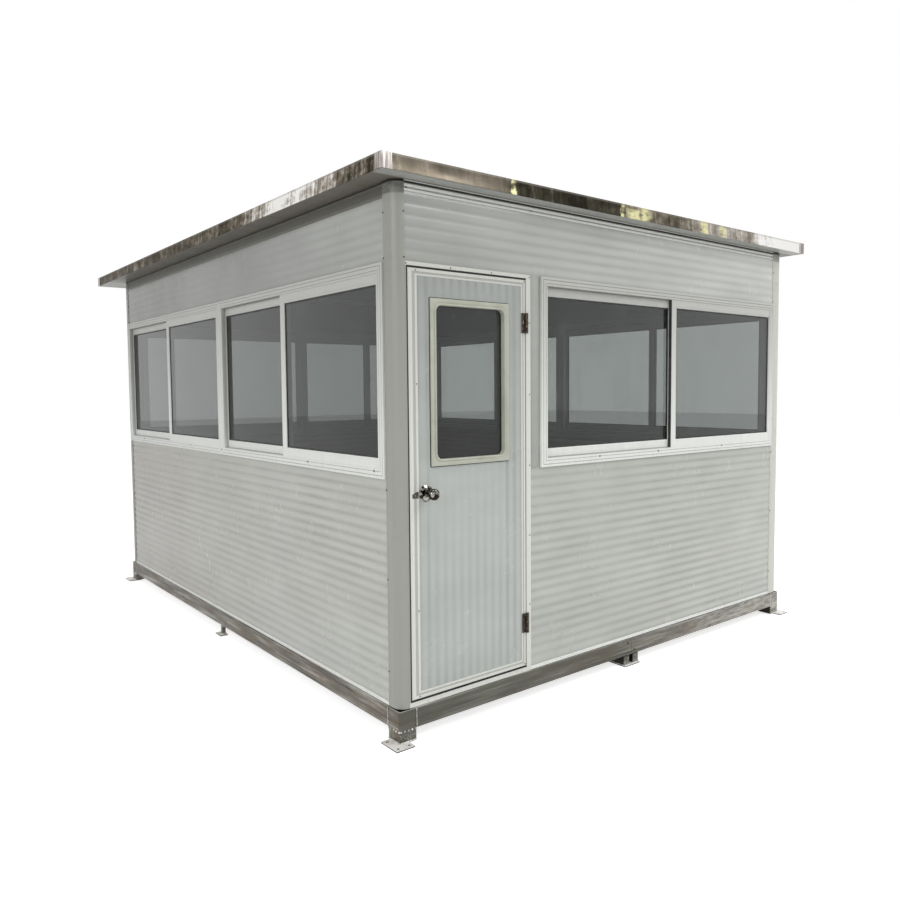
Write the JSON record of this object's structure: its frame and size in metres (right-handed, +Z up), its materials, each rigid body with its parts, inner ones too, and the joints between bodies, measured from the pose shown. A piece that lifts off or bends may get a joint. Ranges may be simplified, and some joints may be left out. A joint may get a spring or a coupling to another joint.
{
  "type": "security guard booth",
  "caption": "Small panel cabin on a steel base frame with corner posts, sliding window bands on every side, a flat roof with a polished fascia and one hinged door.",
  "frame": {"origin": "on the ground under the centre of the roof outline", "axes": "+Z up, the door wall faces -Y, +Y along the side walls, +X along the door wall"},
  "size_m": [3.502, 4.509, 2.609],
  "materials": {
    "base_steel": "brushed, stained brown by weather",
    "floor_board": "plain board",
    "white_trim": "satin white",
    "post_aluminium": "satin light grey",
    "wall_panel": "gloss off-white, fine ribs",
    "window_aluminium": "satin white",
    "clear_glass": "clear float glass",
    "cream_moulding": "cream satin",
    "hinge_steel": "worn steel",
    "polished_steel": "polished",
    "black_rubber": "matte",
    "roof_panel": "satin grey-white",
    "mirror_steel": "mirror polished"
  },
  "bodies": {
    "booth": {"base_beams_sides": "base_steel", "base_beams_ends": "base_steel", "corner_legs": "base_steel", "middle_legs": "base_steel", "foot_plates": "base_steel", "floor_joists_long": "base_steel", "floor_joists_cross": "base_steel", "floor_deck": "floor_board", "bottom_tracks": "white_trim", "top_channels": "white_trim", "corner_posts": "post_aluminium", "lower_wall_left": "wall_panel", "lower_wall_right": "wall_panel", "lower_wall_back": "wall_panel", "lower_wall_front": "wall_panel", "door_side_pier": "wall_panel", "upper_walls": "wall_panel", "window_frames_left": "window_aluminium", "window_frames_right": "window_aluminium", "window_frames_back": "window_aluminium", "window_frames_front": "window_aluminium", "window_sashes_left": "window_aluminium", "window_sashes_right": "window_aluminium", "window_sashes_back": "window_aluminium", "window_sashes_front": "window_aluminium", "window_glass": "clear_glass", "door_jambs": "window_aluminium", "door_header": "window_aluminium", "door_threshold": "window_aluminium", "hinge_frame_halves": "hinge_steel", "lock_strike": "polished_steel", "roof_gasket": "black_rubber", "roof_panels": "roof_panel", "roof_top_sheet": "roof_panel", "fascia_sides": "mirror_steel", "fascia_ends": "mirror_steel", "roof_corner_caps": "mirror_steel"},
    "door": {"door_stiles": "window_aluminium", "door_rails": "window_aluminium", "door_panel": "wall_panel", "door_glass": "clear_glass", "door_window_mouldings": "cream_moulding", "hinge_door_halves": "hinge_steel", "knob_roses": "polished_steel"},
    "knob": {"door_knob": "polished_steel"}
  },
  "joints": [
    {"name": "door_hinge", "type": "hinge", "parent": "booth", "child": "door", "pos_m": [-0.83875, -2.1705, 1.1785], "axis": [0, 0, 1], "range_deg": [0, 110]},
    {"name": "knob_turn", "type": "hinge", "parent": "door", "child": "knob", "pos_m": [-1.4715, -2.1425, 1.14], "axis": [0, 1, 0], "range_deg": [-60, 60], "stiffness_Nm_per_rad": 0.5}
  ]
}
